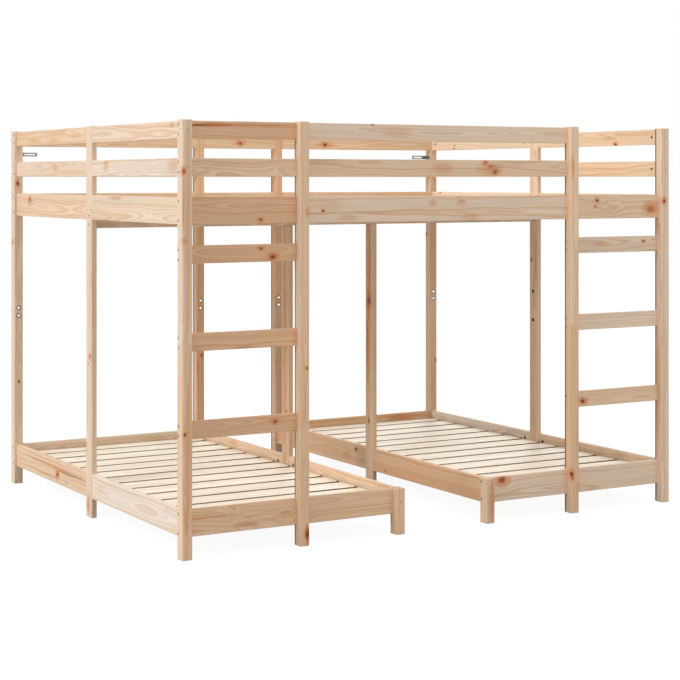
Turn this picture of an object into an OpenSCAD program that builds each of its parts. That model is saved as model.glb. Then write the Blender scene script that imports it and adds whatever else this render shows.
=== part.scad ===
// Triple bunk bed: two lower beds side by side and one wide deck over both, with two built-in ladders.
// Origin at the footprint's centre on the floor, +X to the right along the front, +Y to the back, +Z up.

/* [Lower beds] */
// Length of a lower mattress
mattress_l = 2000; // [1900:10:2200]
// Width of a lower mattress
mattress_w = 1000; // [800:10:1200]
// Free space along each side of a mattress
side_play = 7; // [4:1:15]
// Free space at each end of a mattress
end_play = 6; // [4:1:15]
// Width of the aisle between the two lower beds
aisle = 438; // [300:2:700]
// Underside of the lower bed rails above the floor
low_z = 90; // [60:1:160]

/* [Heights] */
// Height of the tall posts
total_h = 1820; // [1760:5:2100]
// Post ends above the top guard rails
post_over = 4; // [2:1:20]
// Gap between the top and the middle guard rails
guard_gap = 81; // [60:1:95]
// Gap between the middle guard rails and the bed rails
bed_gap = 87; // [60:1:95]
// Gap between the bed rails and the highest rung
rung_under = 87; // [60:1:110]
// Rungs in each ladder
rung_count = 3; // [2:1:4]
// Joint of the posts above the underside of the middle rung
joint_up = 30; // [26:1:46]

/* [Timber] */
// Post section, left to right
post_x = 46; // [42:1:60]
// Post section, front to back
post_y = 52; // [46:1:70]
// Thickness of the flat boards in the mid line
board_t = 26; // [24:1:34]
// Width of the flat boards in the mid line
board_w = 70; // [60:1:100]
// Thickness of all rails and rungs
rail_t = 22; // [20:1:26]
// Height of a guard rail
guard_h = 75; // [70:1:90]
// Height of a bed rail
bed_rail_h = 114; // [105:1:130]
// Height of a rung
rung_h = 75; // [70:1:85]
// Height of the cross beam
beam_h = 75; // [65:1:100]
// Thickness of the cross beam
beam_t = 26; // [20:1:40]
// Width of the cap strip on the cross beam
cap_w = 60; // [50:1:70]
// Thickness of the cap strip
cap_t = 18; // [14:1:24]

/* [Ladders] */
// Clear length of a rung
rung_l = 506; // [400:2:560]

/* [Slats] */
// Width of a slat
slat_w = 133; // [80:1:150]
// Thickness of a slat
slat_t = 18; // [14:1:24]
// Gap between two slats of the lower beds, and the least gap on the deck
slat_gap = 28; // [15:1:50]
// Top of the slats below the top of the bed rails
slat_drop = 43; // [35:1:50]
// Thickness of a slat batten
batten_t = 22; // [18:1:30]
// Height of a slat batten
batten_h = 28; // [20:1:32]

/* [Fasteners] */
// Centre of a connecting screw from the edge of its rail
screw_edge = 17; // [14:1:22]
// Shank of a connecting screw or joining stud
screw_d = 7; // [5:0.5:8]
// Reach of a screw or stud into the end grain of a rail
screw_grip = 50; // [40:1:70]
// Shank of a barrel bolt or tie rod
bolt_d = 6; // [5:0.5:8]
// Diameter of a barrel nut
nut_d = 12; // [10:0.5:14]
// Length of a barrel nut
nut_l = 16; // [14:1:18]
// Barrel nut of a bolt from the end of its rail
nut_in = 38; // [30:1:50]
// Barrel nut of a tie rod from the face of its board
tie_in = 44; // [30:1:60]
// Tie rods above the underside of the bed rails
tie_up = 75; // [60:1:88]
// Diameter of a wood screw
small_d = 4; // [3:0.5:5]
// Diameter of a dowel
dowel_d = 8; // [6:0.5:9]
// Length of a dowel
dowel_l = 60; // [40:2:70]
// Diameter of the cams that grip the stud in the joint of a back post
cam_d = 15; // [12:0.5:16]
// Cams above and below the joint
cam_off = 20; // [16:1:28]
// Diameter of the recess round a cam
cam_recess_d = 24; // [18:0.5:28]

/* [Wall brackets] */
// Length of the leg on the post
bracket_post = 50; // [40:1:52]
// Length of the leg along the wall
bracket_wall = 95; // [80:1:120]
// Height of the bracket strip
bracket_h = 20; // [16:1:30]
// Thickness of the bracket strip
bracket_t = 2; // [1.5:0.5:3]
// Length of the slot for the wall screw
slot_l = 60; // [40:1:65]
// Width of the slot for the wall screw
slot_w = 6; // [4:0.5:8]

/* [Rounding] */
// Radius on the long edges of posts and boards
post_r = 4; // [2:0.5:6]
// Radius on the long edges of rails and slats
edge_r = 3; // [1:0.5:5]
// Chamfer on the feet and tops of the posts
end_cut = 3; // [1:0.5:5]
// Chamfer round the joints of the posts
joint_cut = 0.8; // [0.5:0.1:2]

/* [Hidden] */
$fn = 32;
// Clearances: round fasteners in their bores, tongues in their slots, and slats beside rails and boards
bore_play = 0.15;
tongue_play = 0.2;
slat_play = 2;
cut = 1;

// Fastener forms: heads, their hexagon sockets as shares of shank and head, and thread past a barrel nut
head_d = 11;
head_h = 3;
small_head_d = 8;
small_head_h = 2.5;
socket_width = 0.8;
socket_depth = 0.5;
tail = 8;
cam_l = 20;
cam_recess = 4;
cam_slot = 2;
dowel_side = 15;
tongue_t = 8;
tongue_w = 40;
tongue_l = 180;
tongue_screw_z = 77;
tongue_recess = 5;
tongue_recess_d = 18;
cap_screw_y = 20;
small_grip = 14;
end_grip = 40;
batten_end = 8;
end_slat_least = 60;
bracket_bend = 3;
bracket_screw_in = 12;
slot_from_post = 55;

// Plan: column centres from the middle, and the half sizes of the footprint
bed_w = mattress_w + 2 * side_play + post_x + rail_t;
half_l = bed_w + aisle / 2;
half_w = mattress_l / 2 + end_play + post_y;
cx_corner = half_l - post_x / 2;
cx_ladder = half_l - 1.5 * post_x - rung_l;
cx_inner = half_l - bed_w + post_x / 2;
post_line = half_w - post_y / 2;
inner_y = half_w - post_y;
rail_line = inner_y + rail_t / 2;
board_half = board_w / 2;

// Heights: a level is the underside of a rail, its height and the height of its tie rod above the underside
top_z = total_h - post_over - guard_h;
mid_z = top_z - guard_gap - guard_h;
bed_z = mid_z - bed_gap - bed_rail_h;
low_top = low_z + bed_rail_h;
rung_gap = (bed_z - rung_under - low_top - rung_count * rung_h) / rung_count;
function rung_z(i) = low_top + (i + 1) * rung_gap + i * rung_h;
low = [low_z, bed_rail_h, tie_up];
bed = [bed_z, bed_rail_h, tie_up];
mid = [mid_z, guard_h, guard_h / 2];
top = [top_z, guard_h, guard_h / 2];
rungs = [for (i = [0 : rung_count - 1]) [rung_z(i), rung_h, rung_h / 2]];
joint_z = rung_z(floor(rung_count / 2)) + joint_up;
low_slat_z = low_top - slat_drop - slat_t;
deck_slat_z = bed_z + bed_rail_h - slat_drop - slat_t;
beam_z = deck_slat_z - cap_t - beam_h;
bracket_z = top_z - guard_gap / 2;

// Slats: as many full ones as fit, with the two end slats of a lower bed filling up its length
slat_side = max(rail_t, board_t) / 2 + slat_play;
low_slat_l = cx_corner - cx_inner - 2 * slat_side;
low_field = 2 * (inner_y - slat_play);
full_slats = floor((low_field - 2 * end_slat_least - slat_gap) / (slat_w + slat_gap));
end_slat_w = (low_field - full_slats * slat_w - (full_slats + 1) * slat_gap) / 2;
deck_field = 2 * (cx_corner - slat_side);
deck_slats = floor((deck_field + slat_gap) / (slat_w + slat_gap));
deck_pitch = (deck_field - slat_w) / (deck_slats - 1);
deck_slat_l = inner_y - 2 * slat_play;

// Lines of posts, and joints of left-to-right rails: column centre, line, way the screw points, levels
front = -1;
back = 1;
all_levels = [low, bed, mid, top];
screw_joints = [
    [-cx_corner, front, 1, concat(all_levels, rungs)],
    [-cx_ladder, front, -1, rungs],
    [-cx_inner, front, -1, [low]],
    [cx_inner, front, 1, [low]],
    [cx_ladder, front, -1, [mid, top]],
    [cx_ladder, front, 1, rungs],
    [cx_corner, front, -1, concat([low, bed], rungs)],
    [-cx_corner, back, 1, all_levels],
    [-cx_inner, back, -1, [low]],
    [cx_inner, back, 1, [low]],
    [cx_corner, back, -1, all_levels]
];
stud_joints = [
    [-cx_ladder, front, 0, all_levels],
    [cx_ladder, front, 0, [low, bed]],
    [-cx_inner, back, 0, [bed, mid, top]],
    [cx_inner, back, 0, [bed, mid, top]]
];
// Columns whose side rails are bolted: column centre, side that the barrel nuts open to, levels
side_columns = [
    [-cx_corner, 1, all_levels],
    [-cx_inner, -1, [low]],
    [cx_inner, 1, [low]],
    [cx_corner, -1, all_levels]
];
function screw_heights(level) = [level[0] + screw_edge, level[0] + level[1] - screw_edge];
function bolt_height(level) = level[0] + level[1] / 2;
function tie_height(level) = level[0] + level[2];
function batten_xs(x0, x1) = [for (k = [1, 3, 5]) x0 + (x1 - x0) * k / 6];

// Turns a piece that stands along +Z to point along X or Y
module point_x(way) rotate([0, 90 * way, 0]) children();
module point_y(way) rotate([-90 * way, 0, 0]) children();

// Rounded rectangle, centred left to right, standing on its base
module rounded(w, h, r) {
    translate([-w / 2, r]) square([w, h - 2 * r]);
    translate([-w / 2 + r, 0]) square([w - 2 * r, h]);
    for (x = [-1, 1], y = [r, h - r])
        translate([x * (w / 2 - r), y]) circle(r);
}

// Bars with rounded long edges, standing on z = 0, along X or along Y
module bar_x(x0, x1, t, h)
    translate([x0, 0, 0]) rotate([90, 0, 90]) linear_extrude(x1 - x0) rounded(t, h, edge_r);
module bar_y(y0, y1, t, h)
    translate([0, y1, 0]) rotate([90, 0, 0]) linear_extrude(y1 - y0) rounded(t, h, edge_r);

// Outline of an upright with its two ends chamfered
module end_outline(w, z0, z1, c0, c1)
    polygon([
        [-w / 2 + c0, z0], [w / 2 - c0, z0], [w / 2, z0 + c0], [w / 2, z1 - c1],
        [w / 2 - c1, z1], [-w / 2 + c1, z1], [-w / 2, z1 - c1], [-w / 2, z0 + c0]
    ]);

// Upright with rounded long edges and chamfered ends, centred on the Z axis
module upright(w, d, z0, z1, c0, c1) intersection() {
    translate([0, -d / 2, z0]) linear_extrude(z1 - z0) rounded(w, d, post_r);
    rotate([90, 0, 0]) linear_extrude(d + 2 * cut, center = true) end_outline(w, z0, z1, c0, c1);
    rotate([90, 0, 90]) linear_extrude(w + 2 * cut, center = true) end_outline(d, z0, z1, c0, c1);
}

// Headed fastener along +Z with its head flush at z = 0, and the stepped bore that it fills
module headed(d, l, hd, hh) difference() {
    union() {
        cylinder(d = hd, h = hh);
        cylinder(d = d, h = l);
    }
    translate([0, 0, -cut]) cylinder(d = d * socket_width, h = cut + hh * socket_depth, $fn = 6);
}
module headed_bore(d, l, hd, hh) {
    cylinder(d = d + 2 * bore_play, h = l);
    translate([0, 0, -cut]) cylinder(d = hd + 2 * bore_play, h = cut + hh);
}
module connecting_screw() headed(screw_d, post_x + screw_grip, head_d, head_h);
module connecting_bore() headed_bore(screw_d, post_x + screw_grip, head_d, head_h);
module small_screw(l) headed(small_d, l, small_head_d, small_head_h);
module small_bore(l) headed_bore(small_d, l, small_head_d, small_head_h);
module rod(d, l) cylinder(d = d, h = l, center = true);

// Places of the fasteners of left-to-right rails
module at_screws(joints) for (j = joints, level = j[3], z = screw_heights(level))
    translate([j[0] - j[2] * post_x / 2, j[1] * rail_line, z]) point_x(j[2]) children();
module at_studs(joints) for (j = joints, level = j[3], z = screw_heights(level))
    translate([j[0], j[1] * rail_line, z]) point_x(1) children();
function on_column(joints, x, line) = [for (j = joints) if (j[0] == x && j[1] == line) j];

// Places of bolts and tie rods, each standing in the column's own mid plane
module at_bolts(columns) for (c = columns, level = c[2], line = [front, back])
    translate([c[0], line * half_w, bolt_height(level)]) point_y(-line) children();
module at_ties(columns) for (c = columns, level = c[2])
    translate([c[0], 0, tie_height(level)]) point_y(1) children();
function at_column(columns, x) = [for (c = columns) if (c[0] == x) c];

// Vertical dowel bores at a post's joint
module at_dowels() for (side = [-1, 1]) translate([side * dowel_side, 0, joint_z]) children();
module dowel_bores() at_dowels() rod(dowel_d + 2 * bore_play, dowel_l);

// Stud through the joint of a back post, and the recessed cams on the inner face that grip it.
// The front posts need none, as a rung's screws hold both their lengths.
module at_joint_stud(x) translate([x, back * rail_line, joint_z]) children();
module at_cams(x) for (side = [-1, 1])
    translate([x, back * inner_y, joint_z + side * cam_off]) point_y(back) children();
module cam_bores(x) {
    at_joint_stud(x) rod(screw_d + 2 * bore_play, post_x + 2 * screw_grip);
    at_cams(x) {
        cylinder(d = cam_d + 2 * bore_play, h = cam_l);
        translate([0, 0, -cut]) cylinder(d = cam_recess_d, h = cut + cam_recess);
    }
}

// Bores that the rails' fasteners need in the post at column x of a line
module post_bores(x, line) {
    at_screws(on_column(screw_joints, x, line)) connecting_bore();
    at_studs(on_column(stud_joints, x, line)) rod(screw_d + 2 * bore_play, post_x + 2 * cut);
    at_bolts(at_column(side_columns, x)) headed_bore(bolt_d, post_y + cut, head_d, head_h);
}

// Tall post in two lengths: part 0 stands on the floor, part 1 on top of it
module tall_post(x, line, part) color("burlywood") difference() {
    translate([x, line * post_line, 0])
        if (part == 0) upright(post_x, post_y, 0, joint_z, end_cut, joint_cut);
        else upright(post_x, post_y, joint_z, total_h, joint_cut, end_cut);
    translate([x, line * post_line, 0]) dowel_bores();
    post_bores(x, line);
    if (line == back) {
        cam_bores(x);
        bracket_screw_bores();
    }
}
module short_leg(x) color("burlywood") difference() {
    translate([x, front * post_line, 0]) upright(post_x, post_y, 0, low_top, end_cut, end_cut);
    post_bores(x, front);
}

// Slot for the loose tongue at a side board's joint, and the places of its screws on the inner face
module tongue_space(play)
    translate([-tongue_t / 2 - play, -tongue_w / 2 - play, joint_z - tongue_l / 2])
        cube([tongue_t + 2 * play, tongue_w + 2 * play, tongue_l]);
module at_tongue_screws(side) for (up = [-1, 1])
    translate([side * (cx_corner - board_t / 2 + tongue_recess), 0, joint_z + up * tongue_screw_z])
        point_x(side) children();

// Screws through a side board into the ends of the cross beam and of its cap
module at_beam_screws(side) for (z = [beam_z + screw_edge, beam_z + beam_h - screw_edge])
    translate([side * (cx_corner + board_t / 2), 0, z]) point_x(-side) children();
module at_cap_screws(side) for (y = [-cap_screw_y, cap_screw_y])
    translate([side * (cx_corner + board_t / 2), y, deck_slat_z - cap_t / 2]) point_x(-side) children();
tongue_screw_l = board_t / 2 + tongue_t / 2 - tongue_recess;
cap_screw_l = board_t + end_grip;

// Side board in two lengths, in the mid line between the side rails
module side_board(side, part) color("burlywood") difference() {
    translate([side * cx_corner, 0, 0])
        if (part == 0) upright(board_t, board_w, 0, joint_z, end_cut, joint_cut);
        else upright(board_t, board_w, joint_z, total_h, joint_cut, end_cut);
    translate([side * cx_corner, 0, 0]) tongue_space(tongue_play);
    at_tongue_screws(side) {
        small_bore(tongue_screw_l);
        translate([0, 0, -tongue_recess - cut]) cylinder(d = tongue_recess_d, h = tongue_recess + cut);
    }
    at_ties(at_column(side_columns, side * cx_corner)) rod(bolt_d + 2 * bore_play, board_w + 2 * cut);
    at_beam_screws(side) connecting_bore();
    at_cap_screws(side) small_bore(cap_screw_l);
}

// Inner board, from the floor to the cross beam, with one dowel into the beam
module beam_dowels() for (side = [-1, 1]) translate([side * cx_inner, 0, beam_z]) children();
module inner_board(side) color("burlywood") difference() {
    translate([side * cx_inner, 0, 0]) upright(board_t, board_w, 0, beam_z, end_cut, joint_cut);
    at_ties(at_column(side_columns, side * cx_inner)) rod(bolt_d + 2 * bore_play, board_w + 2 * cut);
    beam_dowels() rod(dowel_d + 2 * bore_play, dowel_l);
}

// Left-to-right rail between two columns, its inner face in the plane of the posts' inner faces
module rail_x(x0, x1, line, level) color("burlywood") difference() {
    translate([0, line * rail_line, level[0]])
        bar_x(x0 + post_x / 2, x1 - post_x / 2, rail_t, level[1]);
    for (z = screw_heights(level), end = [[x0, 1], [x1, -1]])
        translate([end[0] + end[1] * (post_x / 2 - cut), line * rail_line, z])
            point_x(end[1]) cylinder(d = screw_d + 2 * bore_play, h = screw_grip + cut);
    if (level == bed) deck_batten_bores(x0, x1, line);
}

// Barrel nut's cross bore, open to the side that the column's nuts face
module nut_bore(open)
    translate([open * (rail_t / 2 + cut), 0, 0])
        point_x(-open) cylinder(d = nut_d + 2 * bore_play, h = nut_l + cut);

// Side rail of one half of the bed's depth, bolted to the post and tied through the board
module side_rail(x, open, line, level) color("burlywood") difference() {
    translate([x, 0, level[0]])
        bar_y(line < 0 ? -inner_y : board_half, line < 0 ? -board_half : inner_y, rail_t, level[1]);
    translate([x, line * inner_y, bolt_height(level)]) {
        point_y(-line) cylinder(d = bolt_d + 2 * bore_play, h = nut_in + tail);
        translate([0, -line * nut_in, 0]) nut_bore(open);
    }
    translate([x, line * board_half, tie_height(level)]) {
        point_y(line) cylinder(d = bolt_d + 2 * bore_play, h = tie_in + tail);
        translate([0, line * tie_in, 0]) nut_bore(open);
    }
    if (level == low) at_lower_batten_screws(x, open, line) small_bore(batten_t + small_grip);
}
module side_rails(x, open, levels) for (line = [front, back], level = levels)
    side_rail(x, open, line, level);

// Slat battens of the lower beds, on the inner faces of the side rails
batten_y0 = board_half + batten_end;
batten_y1 = inner_y - batten_end;
module at_lower_batten_screws(x, open, line) for (y = batten_xs(batten_y0, batten_y1))
    translate([x + open * (rail_t / 2 + batten_t), line * y, low_slat_z - batten_h / 2])
        point_x(-open) children();
module lower_batten(x, open, line) difference() {
    translate([x + open * (rail_t + batten_t) / 2, 0, low_slat_z - batten_h])
        bar_y(line < 0 ? -batten_y1 : batten_y0, line < 0 ? -batten_y0 : batten_y1, batten_t, batten_h);
    at_lower_batten_screws(x, open, line) small_bore(batten_t + small_grip);
}
module lower_battens() color("cornsilk") for (c = side_columns, line = [front, back])
    lower_batten(c[0], c[1], line);

// Slat battens of the deck, on the inner faces of the front and back bed rails
module at_deck_batten_screws(x0, x1, line) for (x = batten_xs(x0, x1))
    translate([x, line * (inner_y - batten_t), deck_slat_z - batten_h / 2]) point_y(line) children();
module deck_batten_bores(x0, x1, line)
    at_deck_batten_screws(x0, x1, line) small_bore(batten_t + small_grip);
front_bays = [[-cx_corner, -cx_ladder], [-cx_ladder, cx_ladder], [cx_ladder, cx_corner]];
back_bays = [[-cx_corner, -cx_inner], [-cx_inner, cx_inner], [cx_inner, cx_corner]];
module deck_batten(line, bays) difference() {
    translate([0, line * (inner_y - batten_t / 2), deck_slat_z - batten_h])
        bar_x(-deck_field / 2, deck_field / 2, batten_t, batten_h);
    for (b = bays) deck_batten_bores(b[0], b[1], line);
}
module deck_battens() color("cornsilk") {
    deck_batten(front, front_bays);
    deck_batten(back, back_bays);
}

// Slats: flat bars with eased edges
module lower_slat(x, y, w)
    translate([x - low_slat_l / 2, y, low_slat_z])
        rotate([90, 0, 90]) linear_extrude(low_slat_l) rounded(w, slat_t, edge_r / 2);
module lower_slats(side) color("cornsilk") {
    x = side * (cx_corner + cx_inner) / 2;
    for (i = [0 : full_slats - 1])
        lower_slat(x, (i - (full_slats - 1) / 2) * (slat_w + slat_gap), slat_w);
    for (line = [front, back]) lower_slat(x, line * (low_field - end_slat_w) / 2, end_slat_w);
}
module deck_slats(line) color("cornsilk") {
    back_end = line < 0 ? -slat_play : inner_y - slat_play;
    for (i = [0 : deck_slats - 1])
        translate([(i - (deck_slats - 1) / 2) * deck_pitch, back_end, deck_slat_z])
            rotate([90, 0, 0]) linear_extrude(deck_slat_l) rounded(slat_w, slat_t, edge_r / 2);
}

// Posts, legs and boards
module corner_post_front_left_lower() tall_post(-cx_corner, front, 0);
module corner_post_front_left_upper() tall_post(-cx_corner, front, 1);
module corner_post_front_right_lower() tall_post(cx_corner, front, 0);
module corner_post_front_right_upper() tall_post(cx_corner, front, 1);
module corner_post_back_left_lower() tall_post(-cx_corner, back, 0);
module corner_post_back_left_upper() tall_post(-cx_corner, back, 1);
module corner_post_back_right_lower() tall_post(cx_corner, back, 0);
module corner_post_back_right_upper() tall_post(cx_corner, back, 1);
module ladder_post_left_lower() tall_post(-cx_ladder, front, 0);
module ladder_post_left_upper() tall_post(-cx_ladder, front, 1);
module ladder_post_right_lower() tall_post(cx_ladder, front, 0);
module ladder_post_right_upper() tall_post(cx_ladder, front, 1);
module inner_post_back_left_lower() tall_post(-cx_inner, back, 0);
module inner_post_back_left_upper() tall_post(-cx_inner, back, 1);
module inner_post_back_right_lower() tall_post(cx_inner, back, 0);
module inner_post_back_right_upper() tall_post(cx_inner, back, 1);
module side_board_left_lower() side_board(-1, 0);
module side_board_left_upper() side_board(-1, 1);
module side_board_right_lower() side_board(1, 0);
module side_board_right_upper() side_board(1, 1);
module bed_leg_left() short_leg(-cx_inner);
module bed_leg_right() short_leg(cx_inner);
module inner_board_left() inner_board(-1);
module inner_board_right() inner_board(1);

// Cross beam between the side boards, resting on the inner boards, with a flat cap for the slats' ends
beam_half = cx_corner - board_t / 2;
module cross_beam() color("burlywood") difference() {
    translate([0, 0, beam_z]) bar_x(-beam_half, beam_half, beam_t, beam_h);
    for (side = [-1, 1]) at_beam_screws(side) connecting_bore();
    beam_dowels() rod(dowel_d + 2 * bore_play, dowel_l);
}
module beam_cap() color("burlywood") difference() {
    translate([0, 0, deck_slat_z - cap_t]) bar_x(-beam_half, beam_half, cap_w, cap_t);
    for (side = [-1, 1]) at_cap_screws(side) small_bore(cap_screw_l);
}

// Rails of the deck
module front_guard_rails() for (level = [mid, top], bay = [0, 1])
    rail_x(front_bays[bay][0], front_bays[bay][1], front, level);
module front_bed_rails() for (b = front_bays) rail_x(b[0], b[1], front, bed);
module back_guard_rails() for (level = [mid, top], b = back_bays) rail_x(b[0], b[1], back, level);
module back_bed_rails() for (b = back_bays) rail_x(b[0], b[1], back, bed);
module left_guard_rails() side_rails(-cx_corner, 1, [mid, top]);
module left_bed_rails() side_rails(-cx_corner, 1, [bed]);
module right_guard_rails() side_rails(cx_corner, -1, [mid, top]);
module right_bed_rails() side_rails(cx_corner, -1, [bed]);
module left_ladder_rungs() for (level = rungs) rail_x(-cx_corner, -cx_ladder, front, level);
module right_ladder_rungs() for (level = rungs) rail_x(cx_ladder, cx_corner, front, level);

// Rails of the lower beds
module left_bed_front_rails() {
    rail_x(-cx_corner, -cx_ladder, front, low);
    rail_x(-cx_ladder, -cx_inner, front, low);
}
module left_bed_back_rail() rail_x(-cx_corner, -cx_inner, back, low);
module left_bed_outer_rails() side_rails(-cx_corner, 1, [low]);
module left_bed_inner_rails() side_rails(-cx_inner, -1, [low]);
module right_bed_front_rails() {
    rail_x(cx_inner, cx_ladder, front, low);
    rail_x(cx_ladder, cx_corner, front, low);
}
module right_bed_back_rail() rail_x(cx_inner, cx_corner, back, low);
module right_bed_outer_rails() side_rails(cx_corner, -1, [low]);
module right_bed_inner_rails() side_rails(cx_inner, 1, [low]);

// Slats
module left_bed_slats() lower_slats(-1);
module right_bed_slats() lower_slats(1);
module deck_front_slats() deck_slats(front);
module deck_back_slats() deck_slats(back);

// Dowels in every post joint and on top of the inner boards, and tongues in the side boards' joints
front_columns = [-cx_corner, -cx_ladder, cx_ladder, cx_corner];
back_columns = [-cx_corner, -cx_inner, cx_inner, cx_corner];
module dowels() color("tan") {
    for (x = front_columns) translate([x, front * post_line, 0]) at_dowels() rod(dowel_d, dowel_l);
    for (x = back_columns) translate([x, back * post_line, 0]) at_dowels() rod(dowel_d, dowel_l);
    beam_dowels() rod(dowel_d, dowel_l);
}
module board_tongues() color("tan") for (side = [-1, 1]) difference() {
    translate([side * cx_corner, 0, 0]) tongue_space(0);
    at_tongue_screws(side) small_bore(tongue_screw_l);
}

// Screws, studs, bolts, rods and nuts
module connecting_screws() color("dimgray") {
    at_screws(screw_joints) connecting_screw();
    for (side = [-1, 1]) at_beam_screws(side) connecting_screw();
}
module joining_stud() rod(screw_d, post_x + 2 * screw_grip);
module joining_studs() color("silver") {
    at_studs(stud_joints) joining_stud();
    for (x = back_columns) at_joint_stud(x) joining_stud();
}
module joint_cams() color("silver") for (x = back_columns) difference() {
    at_cams(x) difference() {
        cylinder(d = cam_d, h = cam_l);
        rotate([0, 0, 45]) cube([0.7 * cam_d, cam_slot, 2 * cam_slot], center = true);
    }
    at_joint_stud(x) rod(screw_d + 2 * bore_play, post_x + 2 * screw_grip);
}
module barrel_bolts() color("dimgray") at_bolts(side_columns)
    headed(bolt_d, post_y + nut_in + tail, head_d, head_h);
module tie_rods() color("silver") at_ties(side_columns) rod(bolt_d, board_w + 2 * (tie_in + tail));
module barrel_nut(open) translate([open * rail_t / 2, 0, 0]) point_x(-open) difference() {
    cylinder(d = nut_d, h = nut_l);
    translate([0, 0, rail_t / 2]) point_y(1) rod(bolt_d + 2 * bore_play, nut_d + 2 * cut);
}
module barrel_nuts() color("silver") for (c = side_columns, level = c[2], line = [front, back]) {
    translate([c[0], line * (inner_y - nut_in), bolt_height(level)]) barrel_nut(c[1]);
    translate([c[0], line * (board_half + tie_in), tie_height(level)]) barrel_nut(c[1]);
}
module wood_screws() color("dimgray") {
    for (side = [-1, 1]) {
        at_tongue_screws(side) small_screw(tongue_screw_l);
        at_cap_screws(side) small_screw(cap_screw_l);
    }
    for (c = side_columns, line = [front, back])
        at_lower_batten_screws(c[0], c[1], line) small_screw(batten_t + small_grip);
    for (b = front_bays) at_deck_batten_screws(b[0], b[1], front) small_screw(batten_t + small_grip);
    for (b = back_bays) at_deck_batten_screws(b[0], b[1], back) small_screw(batten_t + small_grip);
    at_bracket_screws() translate([0, 0, -small_head_h]) small_screw(bracket_screw_l);
}

// Slotted angle brackets: one leg on the side of a back corner post, the other along the wall
bracket_screw_l = small_head_h + bracket_t + 2 * small_grip;
bracket_x = cx_corner - post_x / 2;
module at_bracket_screws() for (side = [-1, 1], y = [bracket_screw_in, bracket_post - bracket_screw_in])
    translate([side * (bracket_x - bracket_t), half_w - y, bracket_z]) point_x(side) children();
module bracket_screw_bores()
    at_bracket_screws() cylinder(d = small_d + 2 * bore_play, h = bracket_screw_l - small_head_h);
// Bent strip in plan: the corner at the origin, one leg along +X and the other along +Y
module bent_strip() {
    translate([bracket_bend, 0]) square([bracket_wall - bracket_bend, bracket_t]);
    translate([0, bracket_bend]) square([bracket_t, bracket_post - bracket_bend]);
    intersection() {
        translate([bracket_bend, bracket_bend]) difference() {
            circle(bracket_bend);
            circle(bracket_bend - bracket_t);
        }
        square(bracket_bend);
    }
}
module wall_bracket() difference() {
    translate([-bracket_x, half_w, bracket_z - bracket_h / 2])
        mirror([0, 1, 0]) linear_extrude(bracket_h) bent_strip();
    translate([-bracket_x + slot_from_post, half_w, bracket_z]) {
        cube([slot_l - slot_w, 3 * bracket_t, slot_w], center = true);
        for (end = [-1, 1])
            translate([end * (slot_l - slot_w) / 2, 0, 0]) point_y(1) rod(slot_w, 3 * bracket_t);
    }
    bracket_screw_bores();
}
module wall_brackets() color("gray") {
    wall_bracket();
    mirror([1, 0, 0]) wall_bracket();
}

corner_post_front_left_lower();
corner_post_front_left_upper();
corner_post_front_right_lower();
corner_post_front_right_upper();
corner_post_back_left_lower();
corner_post_back_left_upper();
corner_post_back_right_lower();
corner_post_back_right_upper();
ladder_post_left_lower();
ladder_post_left_upper();
ladder_post_right_lower();
ladder_post_right_upper();
inner_post_back_left_lower();
inner_post_back_left_upper();
inner_post_back_right_lower();
inner_post_back_right_upper();
side_board_left_lower();
side_board_left_upper();
side_board_right_lower();
side_board_right_upper();
bed_leg_left();
bed_leg_right();
inner_board_left();
inner_board_right();
cross_beam();
beam_cap();
front_guard_rails();
front_bed_rails();
back_guard_rails();
back_bed_rails();
left_guard_rails();
left_bed_rails();
right_guard_rails();
right_bed_rails();
left_ladder_rungs();
right_ladder_rungs();
left_bed_front_rails();
left_bed_back_rail();
left_bed_outer_rails();
left_bed_inner_rails();
right_bed_front_rails();
right_bed_back_rail();
right_bed_outer_rails();
right_bed_inner_rails();
lower_battens();
deck_battens();
left_bed_slats();
right_bed_slats();
deck_front_slats();
deck_back_slats();
dowels();
board_tongues();
connecting_screws();
joining_studs();
joint_cams();
barrel_bolts();
tie_rods();
barrel_nuts();
wood_screws();
wall_brackets();
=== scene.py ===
import functools
import math

import bpy
import numpy as np
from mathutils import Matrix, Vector


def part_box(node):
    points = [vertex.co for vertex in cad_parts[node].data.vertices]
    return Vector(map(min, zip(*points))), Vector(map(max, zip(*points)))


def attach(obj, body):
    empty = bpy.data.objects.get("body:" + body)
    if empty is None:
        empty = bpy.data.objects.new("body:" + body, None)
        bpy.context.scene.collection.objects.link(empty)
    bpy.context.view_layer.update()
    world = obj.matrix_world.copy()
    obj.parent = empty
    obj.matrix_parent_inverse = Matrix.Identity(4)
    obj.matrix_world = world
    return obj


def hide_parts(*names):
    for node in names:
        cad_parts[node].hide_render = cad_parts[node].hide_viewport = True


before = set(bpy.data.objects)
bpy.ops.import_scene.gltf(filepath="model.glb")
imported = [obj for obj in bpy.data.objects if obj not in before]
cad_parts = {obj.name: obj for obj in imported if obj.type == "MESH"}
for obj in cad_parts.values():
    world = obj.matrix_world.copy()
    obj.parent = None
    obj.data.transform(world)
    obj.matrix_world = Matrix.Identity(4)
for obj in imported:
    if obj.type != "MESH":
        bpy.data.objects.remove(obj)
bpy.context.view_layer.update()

# Room: a pale floor in plain soft light from the upper left.
# The camera stands off the front left corner, level with the guard rails, and looks level, so that
# upright posts stay parallel, with the view shifted down to take in the feet.
eye = bpy.data.cameras.new("camera")
eye.sensor_width = 36.0
eye.lens = 90.31
eye.shift_y = -0.237
camera = bpy.data.objects.new("camera", eye)
camera.location = (-4.248, -7.459, 1.574)
camera.rotation_euler = (math.radians(90), 0, math.radians(-30))
bpy.context.scene.collection.objects.link(camera)
bpy.context.scene.camera = camera
bpy.context.scene.view_settings.view_transform = "Standard"


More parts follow.
